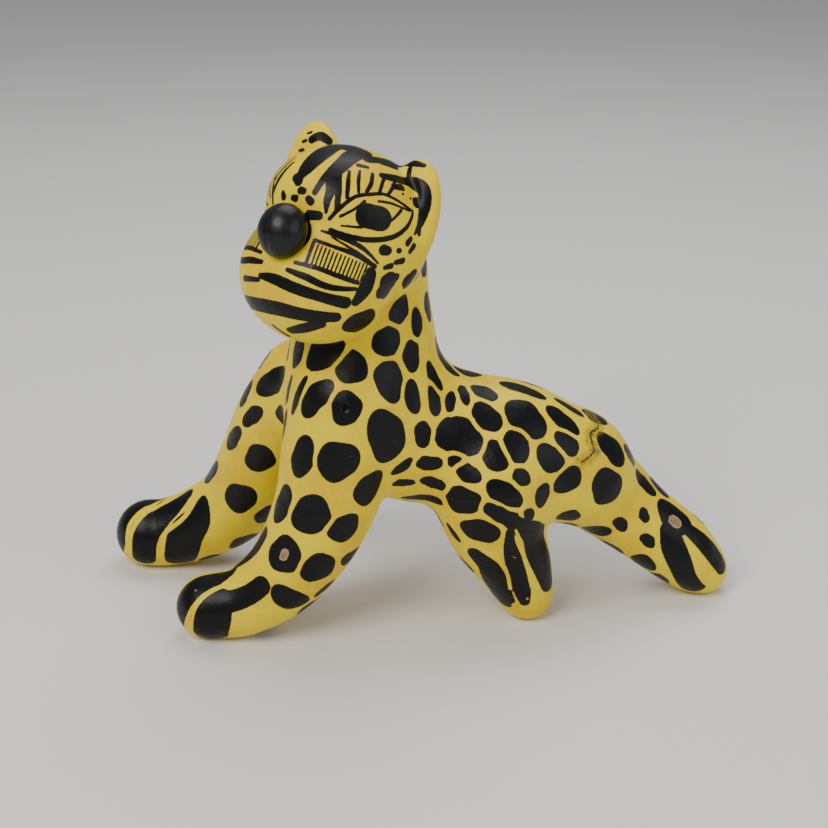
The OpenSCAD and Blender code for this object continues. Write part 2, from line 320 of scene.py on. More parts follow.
def carvedDistance(p):
    trunk = smoothMin(tubeDistance(p, tubes["neck"]), tubeDistance(p, tubes["torso"]), figure["neckBlend"])
    for leg in ("frontLeft", "frontRight", "hindLeft", "hindRight"):
        trunk = smoothMin(trunk, tubeDistance(p, tubes[leg]), figure["legBlend"])
    whole = smoothMin(trunk, headDistance(p), figure["headBlend"])
    return smoothMax(whole, -p[:, 2], figure["soleRound"])


def slope(field, p, step=0.05):
    base = field(p)
    grad = np.stack([field(p + np.eye(3, dtype=np.float32)[i] * step) - base for i in range(3)], 1)
    size = np.linalg.norm(grad, axis=1)
    return base, grad / (size[:, None] + 1e-9), size / step


def stretched(coarse, shape, factor):
    for axis in range(3):
        at = np.arange(shape[axis]) / factor
        i = np.minimum(at.astype(int), coarse.shape[axis] - 2)
        weight = (at - i).astype(np.float32)
        weight = weight.reshape([-1 if k == axis else 1 for k in range(3)])
        coarse = np.take(coarse, i, axis) * (1 - weight) + np.take(coarse, i + 1, axis) * weight
    return coarse


# Points and quads of the skin where the field is zero, found on a grid and then drawn onto the field
def skinOf(field, low, high, pitch, factor=4):
    low = np.array(low, np.float32)
    counts = np.ceil((np.array(high) - low) / (pitch * factor)).astype(int) + 1
    grid = np.stack(np.meshgrid(*[np.arange(n) for n in counts], indexing="ij"), -1).reshape(-1, 3)
    coarse = field((grid * pitch * factor + low).astype(np.float32)).reshape(counts).astype(np.float32)
    values = stretched(coarse, (counts - 1) * factor + 1, factor)
    band = np.argwhere(np.abs(values) < 2.2 * pitch + 0.3)
    values = np.clip(values, -3, 3)
    values[tuple(band.T)] = field((band * pitch + low).astype(np.float32))
    volume = openvdb.FloatGrid(3.0)
    volume.copyFromArray(np.ascontiguousarray(values, np.float32))
    points, quads = volume.convertToQuads(isovalue=0.0)
    points = points.astype(np.float32) * pitch + low
    for _ in range(2):
        base, normal, steep = slope(field, points)
        points = points - normal * np.clip(base / np.maximum(steep, 0.3), -pitch, pitch)[:, None]
    return points.astype(np.float32), quads[:, ::-1]


def meshObject(name, points, faces):
    mesh = bpy.data.meshes.new(name)
    faces = faces.tolist() if isinstance(faces, np.ndarray) else faces
    mesh.from_pydata((np.asarray(points) * mm).tolist(), [], faces)
    mesh.update()
    made = bpy.data.objects.new(name, mesh)
    bpy.context.scene.collection.objects.link(made)
    return made


# Cutting the skin into the carved pieces
def combine(name, base, tool, operation, keepTool=False):
    modifier = base.modifiers.new("cut", "BOOLEAN")
    modifier.operation = operation
    modifier.solver = "MANIFOLD"
    modifier.object = tool
    graph = bpy.context.evaluated_depsgraph_get()
    mesh = bpy.data.meshes.new_from_object(base.evaluated_get(graph))
    base.modifiers.remove(modifier)
    made = bpy.data.objects.new(name, mesh)
    bpy.context.scene.collection.objects.link(made)
    if not keepTool:
        discard(tool)
    return made


def discard(*objects):
    for thing in objects:
        bpy.data.objects.remove(thing)


# Faces of a closed skin made of rings between two poles
def closedFaces(rings, sides):
    faces = [(0, 1 + (k + 1) % sides, 1 + k) for k in range(sides)]
    for j in range(rings - 1):
        row = 1 + j * sides
        for k in range(sides):
            after = (k + 1) % sides
            faces.append((row + k, row + after, row + sides + after, row + sides + k))
    last, row = 1 + rings * sides, 1 + (rings - 1) * sides
    return faces + [(last, row + k, row + (k + 1) % sides) for k in range(sides)]


# A closed round skin along a spine, wider than the spine's own radius by extra
def loftObject(name, tube, extra, sides=48, capRings=6):
    middle = tube[:, :3].astype(float)
    heading = np.gradient(middle, axis=0)
    heading /= np.linalg.norm(heading, axis=1, keepdims=True)
    radius = tube[:, 3] + extra
    rings = []
    for k in range(capRings, 0, -1):
        bend = math.pi / 2 * k / (capRings + 1)
        centre = middle[0] - heading[0] * radius[0] * math.sin(bend)
        rings.append((centre, heading[0], radius[0] * math.cos(bend)))
    rings += list(zip(middle, heading, radius))
    for k in range(1, capRings + 1):
        bend = math.pi / 2 * k / (capRings + 1)
        centre = middle[-1] + heading[-1] * radius[-1] * math.sin(bend)
        rings.append((centre, heading[-1], radius[-1] * math.cos(bend)))
    points = [middle[0] - heading[0] * radius[0]]
    turns = np.arange(sides) * 2 * math.pi / sides
    for centre, along, size in rings:
        up = unit(np.cross((0, 1, 0), along))
        side = np.cross(along, up)
        points += list(centre + size * (np.cos(turns)[:, None] * up + np.sin(turns)[:, None] * side))
    points.append(middle[-1] + heading[-1] * radius[-1])
    return meshObject(name, points, closedFaces(len(rings), sides))


def seatFrame(seat):
    point, out = seats[seat]
    return np.array(point) + shift, unit(out)


# A block on the outer side of a seat, from one depth to another
def blockObject(seat, start, end, half=150.0):
    point, out = seatFrame(seat)
    side = unit(np.cross(out, (0.3, 0.4, 0.87)))
    other = np.cross(out, side)
    corners = []
    for depth in (start, end):
        for u, v in ((-1, -1), (1, -1), (1, 1), (-1, 1)):
            corners.append(point + out * depth + side * u * half + other * v * half)
    faces = [(3, 2, 1, 0), (4, 5, 6, 7), (0, 1, 5, 4), (1, 2, 6, 5), (2, 3, 7, 6), (3, 0, 4, 7)]
    return meshObject("block", corners, faces)


def rodObject(point, out, radius, start, end, sides=64):
    side = unit(np.cross(out, (0.3, 0.4, 0.87)))
    other = np.cross(out, side)
    turns = np.arange(sides) * 2 * math.pi / sides
    ring = radius * (np.cos(turns)[:, None] * side + np.sin(turns)[:, None] * other)
    points = np.concatenate([ring + point + out * start, ring + point + out * end])
    faces = [tuple(range(sides - 1, -1, -1)), tuple(range(sides, 2 * sides))]
    for k in range(sides):
        after = (k + 1) % sides
        faces.append((k, after, sides + after, sides + k))
    return meshObject("rod", points, faces)


# Directions from the middle of a round skin, from its lowest point to its highest
def skinDirections(rows, columns):
    directions = [np.array([[0, 0, -1.0]])]
    turns = np.arange(columns) * 2 * math.pi / columns
    for row in range(1, rows):
        lift = -math.pi / 2 + math.pi * row / rows
        directions.append(np.stack([math.cos(lift) * np.cos(turns), math.cos(lift) * np.sin(turns),
                                    np.full(columns, math.sin(lift))], 1))
    directions.append(np.array([[0, 0, 1.0]]))
    return np.concatenate(directions)


# The head's own skin, without ears, wider by extra
def headObject(extra, rows=60, columns=120):
    d = skinDirections(rows, columns)
    points = fromHead(d * (headReach(d) + extra)[:, None])
    return meshObject("headCutter", points, closedFaces(rows - 1, columns))


def earCutter(side, extra=2.2):
    mirror, middle, lean = earShape["sides"][side]
    points, faces = eggMesh(np.array(earShape["half"]) + extra, 30, 48)
    local = (points @ turn("X", lean).T + np.array(middle)) * np.array([1, mirror, 1])
    if mirror < 0:
        faces = [face[::-1] for face in faces]
    return meshObject("earCutter", fromHead(local), faces)


def eggMesh(half, rows, columns):
    return skinDirections(rows, columns) * np.array(half), closedFaces(rows - 1, columns)


def carveBody():
    points, quads = skinOf(carvedDistance, (-108, -44, -2), (108, 44, 118), figure["skinPitch"])
    whole = meshObject("wholeSkin", points, quads)
    print("body skin", len(points))
    top = combine("headCutter", headObject(figure["headMargin"]), blockObject("neck", 0, 200), "UNION")
    rest = combine("rest", whole, top, "DIFFERENCE")
    discard(whole)
    made = {}
    for leg in ("frontLeft", "frontRight", "hindLeft", "hindRight"):
        tube = loftObject("limbCutter", tubes[leg], figure["limbMargin"])
        cutter = combine("legCutter", tube, blockObject(leg, 0, 200), "INTERSECT")
        discard(tube)
        limb = combine(leg, rest, cutter, "INTERSECT", keepTool=True)
        smaller = combine("rest", rest, cutter, "DIFFERENCE")
        discard(rest)
        rest = smaller
        made["paste" + leg[0].upper() + leg[1:]] = combine(
            "paste", limb, blockObject(leg, -1, figure["pasteThickness"]), "INTERSECT")
        made[leg] = combine(leg, limb, blockObject(leg, figure["pasteThickness"], 200), "INTERSECT")
        discard(limb)
    made["body"] = rest
    return made


def carveHead():
    low, high = headCentre - 46, headCentre + 46
    floorLevel = 92.0
    points, quads = skinOf(lambda p: np.maximum(carvedDistance(p), floorLevel - p[:, 2]),
                           low, high, figure["headPitch"])
    print("head skin", len(points))
    whole = meshObject("wholeHead", points, quads)
    above = blockObject("neck", figure["pasteThickness"], 200)
    cutter = combine("headCutter", headObject(figure["headMargin"]), above, "UNION")
    rest = combine("rest", whole, cutter, "INTERSECT")
    made = {}
    slab = combine("slab", whole, blockObject("neck", 0, figure["pasteThickness"]), "INTERSECT")
    made["pasteNeck"] = combine("pasteNeck", slab, headObject(figure["headMargin"]), "DIFFERENCE")
    discard(whole, slab)
    for side in ("left", "right"):
        tool = earCutter(side)
        core = headObject(-0.6)
        outer = combine("earTool", tool, core, "DIFFERENCE")
        discard(tool)
        made["ear" + side.capitalize()] = combine("ear", rest, outer, "INTERSECT", keepTool=True)
        smaller = combine("rest", rest, outer, "DIFFERENCE")
        discard(rest)
        rest = smaller
    made["head"] = rest
    return made


pieces = carveBody()
pieces.update(carveHead())
for name, piece in pieces.items():
    print("carved", name, len(piece.data.polygons))


# The painted pattern
# A limb's coordinates are the distance along its spine from the root and
# the angle round it: 0 faces the animal's left and 90 the chest side of a leg, the belly or the nape.
def limbPlace(name, along, around):
    tube = tubes[name].astype(float)
    middle = tube[:, :3]
    first, last = unit(middle[1] - middle[0]), unit(middle[-1] - middle[-2])
    middle = np.concatenate([[middle[0] - first * 40], middle, [middle[-1] + last * 20]])
    length = np.concatenate([[-40, 0], np.cumsum(np.linalg.norm(np.diff(middle[1:], axis=0), axis=1))])
    i = int(np.clip(np.searchsorted(length, along) - 1, 0, len(length) - 2))
    share = (along - length[i]) / (length[i + 1] - length[i])
    centre = middle[i] + (middle[i + 1] - middle[i]) * share
    heading = unit(middle[min(i + 2, len(middle) - 1)] - middle[max(i - 1, 0)])
    up = unit(np.cross((0, 1, 0), heading))
    side = np.cross(heading, up)
    angle = math.radians(around)
    return centre, heading, math.sin(angle) * up - math.cos(angle) * side


# Walks outwards from inside the wood to the skin
def skinAlong(starts, directions, limit=45.0):
    starts, directions = np.array(starts, float), np.array(directions, float)
    travel = np.full(len(starts), 3.0)
    for _ in range(40):
        reading = carvedDistance((starts + directions * travel[:, None]).astype(np.float32))
        travel = np.clip(travel - reading * 0.9, 0, limit)
    return starts + directions * travel[:, None]


def headPlaces(points):
    angles = np.radians(np.array([point[:2] for point in points], float))
    across, lift = angles[:, 0], angles[:, 1]
    d = np.stack([-np.cos(lift) * np.cos(across), -np.cos(lift) * np.sin(across), np.sin(lift)], 1)
    return fromHead(d * headReach(d)[:, None])


# One smooth line through points, whose last figure is the half width of the brush
def smoothLine(points):
    samples = smoothCurve(points, paint["lineSteps"])
    samples[:, 2] = np.maximum(samples[:, 2], paint["thinnest"])
    return samples


# Places on the skin with the limb's heading and the skin's normal there
def limbPlaces(limb, items):
    starts, headings, outs = zip(*[limbPlace(limb, item[0], item[1]) for item in items])
    centres = skinAlong(starts, outs)
    return centres, headings, slope(carvedDistance, centres.astype(np.float32))[1]


def limbStroke(name, points):
    line = smoothLine(points)
    starts, headings, outs = zip(*[limbPlace(name, along, around) for along, around, _ in line])
    return np.column_stack([skinAlong(starts, outs), line[:, 2]]).astype(np.float32)


def headStroke(points):
    line = smoothLine(points)
    places = headPlaces(line)
    for _ in range(3):
        base, normal, steep = slope(carvedDistance, places.astype(np.float32))
        places = places - normal * np.clip(base, -2, 2)[:, None]
    return np.column_stack([places, line[:, 2]]).astype(np.float32)


# Worked out by a scratch script from read-off places, as the face, ear and paw strokes were, then rounded:
# along, around, length, width, tilt of the length from the spine towards growing angle
spotPlan = {
    "neck": [
        (17, -30, 14, 10.5, 50), (14, -59, 11, 6, 0), (15, -7, 10, 9.5, 0), (31, -4, 9, 11, 0),
        (23, 18, 9.5, 8, 25), (11, 20, 13, 9, 0), (18, 41, 10, 6, 0), (5, 37, 10, 5.5, 0),
        (6, -26, 14, 7.5, 30), (4.5, -7, 10.5, 8.5, 10), (4, -41, 13, 3, 8), (2.5, -58, 10, 3, 0),
        (-8, -54, 11, 4, 0), (-5.5, 17, 18, 12, -20), (42, 5, 8, 6.5, 40), (43, 23, 7, 3.5, 0),
        (32, 28, 9, 6, 15), (28, 49, 9, 4.5, 0), (9, 60, 10, 4, -10), (2.5, 53, 9.5, 4, 5),
        (-6.5, 41, 8, 5, 0), (12, 84, 15, 5, 0), (32, 72, 9, 5, 0),
    ],
    "torso": [
        (22.5, -50, 3, 7, 0), (27, -60, 3, 7.5, -20), (33.5, -67, 9, 5, 20), (44, -82, 15, 5, 10),
        (35, -43, 11, 7.5, 45), (45, -49, 15, 10.5, 30), (54, -61, 13, 6, 20), (57, -84, 11, 3.5, 5),
        (57, -41, 9.5, 6, 15), (53, -22, 11, 7.5, 15), (44, -23, 11, 8, 65), (39, -13, 10, 7, 65),
        (27, -23, 15, 11.5, 20), (12, 9, 9, 2.8, -55), (19, 2, 8.5, 4.5, -8), (31.5, 2, 8.5, 5, 15),
        (27, -5, 5, 4, -40), (22, 19, 8.5, 3.8, 5), (14, 25, 7, 2.8, -25), (46.5, -3, 6, 5, 20),
        (61.5, -9, 10, 7.5, -60), (74, -58, 13, 8.5, 25), (76, -14, 13, 11, 40),
    ],
    "frontLeft": [
        (16.5, 37, 14, 7.5, 8), (14.5, -1, 13, 12, 30), (23, -42, 12, 9, 30), (36, 57, 13, 7, 10),
        (34, 16, 13, 11.5, 30), (35, -25, 10, 9, 30), (50.5, 27, 11.5, 11, 0), (49, -19, 11.5, 9.5, 30),
        (62, -15, 13, 7.5, 75), (55, -54, 8, 3, 20),
    ],
    "frontRight": [
        (-2, 45, 17, 8, 25), (13, 42, 11, 5, 20), (25, 57, 12, 5.5, 20), (24, 10, 11.5, 9, 20),
        (47, 75, 12, 5.5, 20), (43, 9, 12, 10.5, 20),
    ],
    "hindLeft": [
        (0.5, 29, 9, 12, 0), (-1.5, -9, 13, 7, -50), (5, -5, 13, 5.5, -60), (11, 16, 13, 8.5, -72),
        (2.5, 68, 14, 3.5, 85), (10, 74, 8, 2, -30), (13, 50, 7, 2.2, -25), (7, -32, 5.5, 3, -35),
        (22, -60, 8, 3, -20), (1.5, -45, 8, 5.5, 10),
    ],
    "hindRight": [
        (21, -62, 12, 4.5, 0), (27, -24, 5, 3, 30), (22.5, 6, 6, 4, 20), (34.5, 2, 6, 3.5, 10),
        (38, -52, 14, 9.5, 5),
    ],
}
paint = {
    "vein": 1.3,          # yellow left between two spots that would touch
    "broadBrush": 1.25,   # the strokes of the face against their set widths
    "fineBrush": 1.2,
    "swell": 0.35,        # how far every spot spreads beyond its set size
    "wobble": 0.05,       # unevenness of a hand-painted outline
    "edge": 0.10,         # softness of its edge
    "lineSteps": 8,       # samples between two points of a stroke
    "thinnest": 0.05,     # smallest half width
    "reach": 3.0,         # readings are kept within this far of an edge
    "seed": 11,
}


class Spots:
    def __init__(self):
        self.rows = []
        self.random = np.random.default_rng(paint["seed"])

    def add(self, centre, along, normal, length, width, tilt):
        normal = unit(normal)
        along = unit(along - normal * np.dot(along, normal))
        across = np.cross(along, normal)
        angle = math.radians(tilt)
        long = along * math.cos(angle) + across * math.sin(angle)
        short = np.cross(normal, long)
        phases = self.random.uniform(0, 2 * math.pi, 3)
        self.rows.append((np.array(centre), long, short, normal, length / 2, width / 2, phases))

    def place(self, limb, items):
        for item, centre, heading, normal in zip(items, *limbPlaces(limb, items)):
            self.add(centre, heading, normal, *item[2:])


def spotReading(spot, p, normals):
    centre, long, short, normal, a, b, phases = spot
    off = p - centre
    distance = np.linalg.norm(off, axis=1)
    x, y = off @ long, off @ short
    flat = np.hypot(x, y) + 1e-6
    x, y = x * distance / flat, y * distance / flat
    angle = np.arctan2(y, x)
    grow = 1 + paint["wobble"] * (np.sin(2 * angle + phases[0]) * 0.5 + np.sin(3 * angle + phases[1])
                                  + 0.5 * np.sin(5 * angle + phases[2]))
    x, y = x / grow, y / grow
    k0 = np.hypot(x / a, y / b)
    k1 = np.hypot(x / a ** 2, y / b ** 2) + 1e-6
    reading = k0 * (k0 - 1) / k1
    turned = normals @ normal
    return np.where(turned > 0.05, reading, 9.0)


spots = Spots()
for limb, items in spotPlan.items():
    spots.place(limb, items)
print("spots", len(spots.rows))


# Signed distance to the edge of the black paint, negative inside it
def inkReading(p, normals, rows, strokes):
    first, second = np.full(len(p), 9.0), np.full(len(p), 9.0)
    for spot in rows:
        span = spot[4] * 1.2 + 4
        near = np.flatnonzero((np.abs(p - spot[0]) < span).all(1))
        if len(near) == 0:
            continue
        reading = spotReading(spot, p[near], normals[near])
        closer = reading < first[near]
        second[near] = np.where(closer, first[near], np.minimum(second[near], reading))
        first[near] = np.where(closer, reading, first[near])
    first, second = first - paint["swell"], second - paint["swell"]
    ink = np.maximum(first, (paint["vein"] - (second - first)) / 2)
    for colour, line in strokes:
        reading = tubeDistance(p.astype(np.float32), line).astype(float)
        ink = np.minimum(ink, reading) if colour == "black" else np.maximum(ink, -reading)
    return np.clip(ink, -paint["reach"], paint["reach"])


# Rows of spots by rule for the sides that the planned ones leave bare
fillPlan = {
    # limb: along from, to, around from, to, row spacing, spot spacing, length, width
    "neck": (-10, 44, 78, 292, 11.5, 11.0, 8.5, 7.0),
    "torso": (6, 74, 30, 318, 10.5, 10.2, 8.8, 7.0),
    "frontLeft": (4, 78, 108, 318, 11.8, 11.5, 9.5, 8.0),
    "frontRight": (0, 82, 98, 335, 11.8, 11.5, 9.5, 8.0),
    "hindLeft": (4, 40, 92, 300, 9.6, 9.0, 7.5, 6.0),
    "hindRight": (8, 60, 15, 330, 10.2, 10.0, 8.5, 6.8),
}


def fillSpots():
    random = np.random.default_rng(paint["seed"] + 1)
    for limb, (low, high, start, end, rowGap, gap, length, width) in fillPlan.items():
        tube = tubes[limb]
        travelled = np.concatenate([[0], np.cumsum(np.linalg.norm(np.diff(tube[:, :3], axis=0), axis=1))])
        items = []
        along, row = low, 0
        while along < high:
            radius = float(np.interp(along, travelled, tube[:, 3]))
            step = math.degrees(gap / radius)
            around = start + (row % 2) * step / 2
            while around < end:
                nudge = random.uniform(-1, 1, 5)
                items.append((along + nudge[0] * 1.6, around + nudge[1] * step * 0.16,
                              length * (1 + 0.18 * nudge[2]), width * (1 + 0.18 * nudge[3]), 40 * nudge[4]))
                around += step
            along += rowGap
            row += 1
        for item, centre, heading, normal in zip(items, *limbPlaces(limb, items)):
            addIfRoom(centre, heading, normal, *item[2:])


def addIfRoom(centre, heading, normal, length, width, tilt):
    if centre[2] < 2.5:
        return
    reach = (length + width) / 4
    for spot in spots.rows:
        apart = np.linalg.norm(spot[0] - centre)
        if apart < (spot[4] + spot[5]) / 2 + reach + 0.6 and np.dot(spot[3], normal) > -0.2:
            return
    for _, line in strokes:
        if (np.linalg.norm(line[:, :3] - centre, axis=1) - line[:, 3]).min() < reach + 0.8:
            return
    spots.add(centre, heading, normal, length, width, tilt)


# Brush strokes: face, ears and paws
# across and lift in degrees on the head, from the nose towards the animal's left and up, then half width
middleStrokes = {
    "black": [
        [(-38, 66, 2.6), (-8, 66, 3.2), (25, 63, 3.0)],
        [(-7, 60, 2.6), (-4, 46, 2.9), (-4, 34, 2.2), (-5, 27, 1.0)],
        [(24, 58, 2.2), (19, 48, 2.5), (16, 38, 2.3), (13, 31, 1.2)],
        [(17, 33, 1.8), (19, 25, 1.3), (19, 18, 0.9), (20, 12, 0.4)],
        [(12, 30, 0.9), (10, 21, 0.8)],
        [(-8, 26.5, 1.1), (-4, 24.5, 1.2)],
        [(-14, 16, 0.7), (-12, 14, 0.9)], [(-4, 15, 0.8), (-2, 15, 0.9)],
        [(0, 20, 1.0), (2, 20, 0.9)], [(7, 16.5, 0.9), (9, 15.5, 1.0)],
        [(10, 8, 1.2), (16, 9, 1.1)],
        [(-8, -28, 0.7), (2, -27.5, 1.3), (16, -29, 1.4), (30, -30, 1.3), (44, -31, 1.5)],
        [(-24, -32, 0.8), (-9, -30, 0.6)],
        [(-27, -44, 1.9), (3, -41, 2.0), (22, -40.5, 1.8), (41, -39, 1.4)],
        [(12, -53, 1.2), (22, -49, 1.6), (33, -44, 1.4)],
        [(-4, -53, 0.6), (5, -59, 0.8)],
        [(-1, -5, 5.5), (1, -5, 5.5)],
    ],
    "yellow": [
        [(10, 54, 0.4), (10, 45, 0.8), (9, 36, 0.7), (8, 30, 0.6)],
        [(-13, -49, 0.6), (5, -49, 0.8), (16, -46.5, 0.4)],
    ],
}
# The near half of the face, drawn again in mirror image on the far half
cheekStrokes = [
    [(21, 35, 0.5), (24, 25, 0.8), (26, 15, 0.7)], [(26, 39, 0.4), (28, 31, 0.6), (30, 23, 0.5)],
    [(33, 42, 0.35), (34, 35, 0.5), (36, 28, 0.4)], [(43, 43, 0.5), (43, 36, 0.6), (41, 30, 0.5)],
    [(55, 47, 0.4), (52, 40, 0.5), (50, 33, 0.5)], [(65, 46, 0.4), (61, 39, 0.5), (57, 33, 0.5)],
    [(31, 46, 0.8), (38, 47, 0.6)],
    [(23, 9, 0.5), (28, 17, 0.55), (35, 25, 0.5), (44, 29, 0.5), (54, 32, 0.45), (67, 31, 0.4),
     (81, 28, 0.4)],
    [(29, 12, 0.4), (36, 18, 0.35), (41, 24, 0.4)], [(50, 26.5, 0.35), (60, 28, 0.35), (78, 27.5, 0.3)],
    [(45, 16.5, 3.0), (54, 17, 3.0)],
    [(62, 18, 0.35), (69, 26, 0.5)], [(31, 7, 0.3), (43, 9, 0.35)],
    [(25, 3, 0.5), (36, 2, 0.65), (50, 3, 0.7), (65, 8, 0.7), (75, 16, 0.6), (80, 24, 0.5), (81, 28, 0.4)],
    [(20, 1, 0.3), (33, 0, 0.55), (47, -3, 0.6), (60, -10, 0.3)],
    [(27, -1, 0.25), (44, -6, 0.35), (57, -11, 0.3)],
    [(18, -5, 0.5), (29, -6, 0.5), (43, -7.5, 0.7), (53, -10.5, 0.6), (58, -12, 0.6)],
    [(18, -5, 0.5), (18, -17, 0.5)],
    [(12, -18, 0.5), (25, -18, 0.6), (37, -19.5, 0.65), (48, -21, 0.6)],
    [(9, -22, 0.6), (20, -23, 0.9), (33, -25, 0.8), (48, -24, 0.5)],
    [(62, -1, 1.4), (65, -1, 1.2)], [(73, 1, 0.7), (74, 1, 0.7)], [(79, 7, 0.9), (81, 10, 0.7)],
    [(83, 2, 0.7), (85, 6, 0.8)], [(66, -12, 0.6), (71, -10, 0.8)], [(74, -7, 0.7), (79, -5, 0.9)],
    [(88, 14, 0.5), (88, 17, 0.5)],
    [(56, -16, 1.6), (54, -23, 2.0), (50, -30, 1.2)],
    [(66, -26, 1.5), (72, -22, 1.8), (79, -17, 1.2)], [(95, -12, 0.8), (94, -17, 2.2)],
]
comb = {"bars": 14, "from": (21, -7, -17), "to": (52, -12, -20), "slant": -2.5, "half": 0.3}
crestStrokes = [[(36, 60, 1.2), (46, 59, 1.7), (60, 60, 1.8), (75, 61, 1.6)], [(71, 37, 0.4),
                (72, 37.5, 0.4)],
                [(80, 36, 0.4), (81, 36.5, 0.4)], [(62, 40, 1.0), (72, 42, 1.2)]]
# outward and up from the middle of an ear, as seen from its front
earStrokes = {
    "left": [[(-1.8, 10.6, 1.2), (0.6, 11, 1.8), (4.6, 10.3, 2.1), (6.8, 6.5, 1.9), (7.4, 1, 1.2),
             (7.4, -3, 0.5)],
             [(-1.8, 15, 0.8), (0, 11, 0.7)], [(4.2, 6.2, 1.3), (4.8, 5.4, 1.3)],
             [(-8, 14.2, 1.9), (-4, 16.4, 1.6), (2, 16.8, 0.9)]],
    "right": [[(-0.6, 14.3, 0.5), (0.6, 14, 0.5)], [(0.9, 11.7, 0.5), (2.1, 11.3, 0.5)],
              [(2, 9, 0.5), (3.1, 8.6, 0.5)], [(3, 6.2, 0.5), (4, 5.8, 0.5)], [(3.6, 3.4, 0.5),
               (4.6, 3, 0.5)],
              [(-1.2, 12, 1.3), (-4, 13.2, 1.6), (-6.6, 12, 1.4)]],
}
pawStrokes = {
    "frontLeft": [
        ("black", [(75, 86, 1.5), (83, 84, 3), (90, 67, 4.6), (95, 45, 5), (98, 3, 5.0), (98, -25, 4.5)]),
        ("black", [(83, 36, 3.8), (86, 8, 5.8), (88, -26, 5.6)]),
        ("black", [(66, 27, 3.3), (72, 28, 3.4), (80, 32, 3.6)]),
        ("black", [(51, 75, 2.5), (58, 79, 2.8), (66, 88, 2.6), (72, 97, 2.2)]),
        ("yellow", [(70, 68, 1.3), (80, 62, 0.9), (86, 54, 0.8), (91.5, 31, 0.8), (94.5, 5, 0.9),
                    (96, -34, 1.6)]),
    ],
    "frontRight": [
        ("black", [(84, 105, 3), (93, 90, 4.6), (98, 67, 5.4), (101, 28, 5.4), (102, -24, 4.6)]),
        ("black", [(69, 76, 2.6), (76, 64, 3.6), (83, 50, 4.2), (90, 28, 4.5), (92, -24, 4.2)]),
        ("black", [(60, 46, 2.4), (66, 28, 4.8), (74, 12, 6.2), (80, -28, 5.6)]),
        ("yellow", [(78, 105, 0.7), (84, 92, 0.7), (89, 81, 0.8), (95, 52, 0.9), (97, 27, 1.0),
                    (97.5, -32, 1.2)]),
        ("yellow", [(60, 68, 1.2), (66, 52, 1.0), (71, 40, 0.9), (78, 30, 0.8), (82, 22, 0.8), (85, 5, 1.0),
                    (86.5, -30, 1.5)]),
    ],
    "hindLeft": [
        ("black", [(4, -2, 2.2), (10, -20, 3.0), (15, -36, 3.8), (22, -46, 4.8), (29, -50, 5.2),
                   (38, -60, 4.6)]),
        ("black", [(19, 31, 2.8), (24, 25, 3.8), (30, 32, 4.6), (38, 42, 4.6)]),
        ("yellow", [(42, 22, 1.6), (44, 2, 2.2), (43, -20, 2.6)]),
        ("black", [(12, -13, 1.2), (19, -12, 2.1), (26, -9, 3.0), (34, -4, 3.2), (41, 2, 1.8)]),
        ("yellow", [(12, -19, 0.4), (16, -23, 0.5), (21, -26, 0.7), (28, -23, 0.8), (36, -24, 1.6)]),
        ("yellow", [(26, 5, 0.5), (30, 9, 0.6), (34, 15, 0.6)]),
    ],
    "hindRight": [
        ("black", [(38, -29, 2.8), (43, -14, 4.2), (49, 1, 4.6), (58, 22, 4.6)]),
        ("black", [(43, -50, 2.2), (50, -50, 3.3), (56, -50, 3.6), (62, -48, 3.2)]),
        ("yellow", [(45, -33, 0.7), (50, -22, 1.4), (55, -13, 2.2), (61, -8, 2.8)]),
    ],
}


# Points on an ear seen from its front, or with facing -1 from its back
def earPlaces(side, line, facing=1):
    line = np.array(line, float)
    mirror, middle, lean = earShape["sides"][side]
    local = np.column_stack([np.full(len(line), -12.0 * facing), -line[:, 0], line[:, 1]])
    q = (local @ turn("X", lean).T + np.array(middle)) * np.array([1, mirror, 1])
    places = fromHead(q)
    forward = (fromHead((1, 0, 0)) - fromHead((0, 0, 0))) * facing
    for _ in range(40):
        reading = carvedDistance(places.astype(np.float32))
        places = places + forward * np.minimum(reading, 4)[:, None] * 0.8
    return places


def earStroke(side, points):
    line = smoothLine(points)
    return np.column_stack([earPlaces(side, line), line[:, 2]]).astype(np.float32)


# Rows of spots on the back of the head and of the ears
def fillHead():
    random = np.random.default_rng(paint["seed"] + 2)
    angles = []
    for row, lift in enumerate(range(-50, 76, 21)):
        step = 22 / math.cos(math.radians(min(lift, 60)))
        across = 92 + (row % 2) * step / 2
        while across < 292:
            nudge = random.uniform(-1, 1, 2)
            angles.append((across + 3 * nudge[0], lift + 2.5 * nudge[1], 0))
            across += step
    places = list(headPlaces(angles))
    for side in ("left", "right"):
        backs = [(-4, 13, 0), (2.5, 12, 0), (5, 5.5, 0), (-1.5, 5, 0), (3.5, -2, 0)]
        places += list(earPlaces(side, backs, -1))
    places = np.array(places)
    for _ in range(3):
        base, normals, steep = slope(carvedDistance, places.astype(np.float32))
        places = places - normals * np.clip(base, -2, 2)[:, None]
    small = len(places) - 10
    for i, (centre, normal) in enumerate(zip(places, normals)):
        nudge = random.uniform(-1, 1, 3)
        size = 7.6 if i < small else 4.6
        addIfRoom(centre, np.array([0, 0, 1]), normal, size * (1 + 0.15 * nudge[0]),
                  size * 0.82 * (1 + 0.15 * nudge[1]), 40 * nudge[2])


def brushed(points, factor):
    return [(*point[:2], point[2] * factor) for point in points]


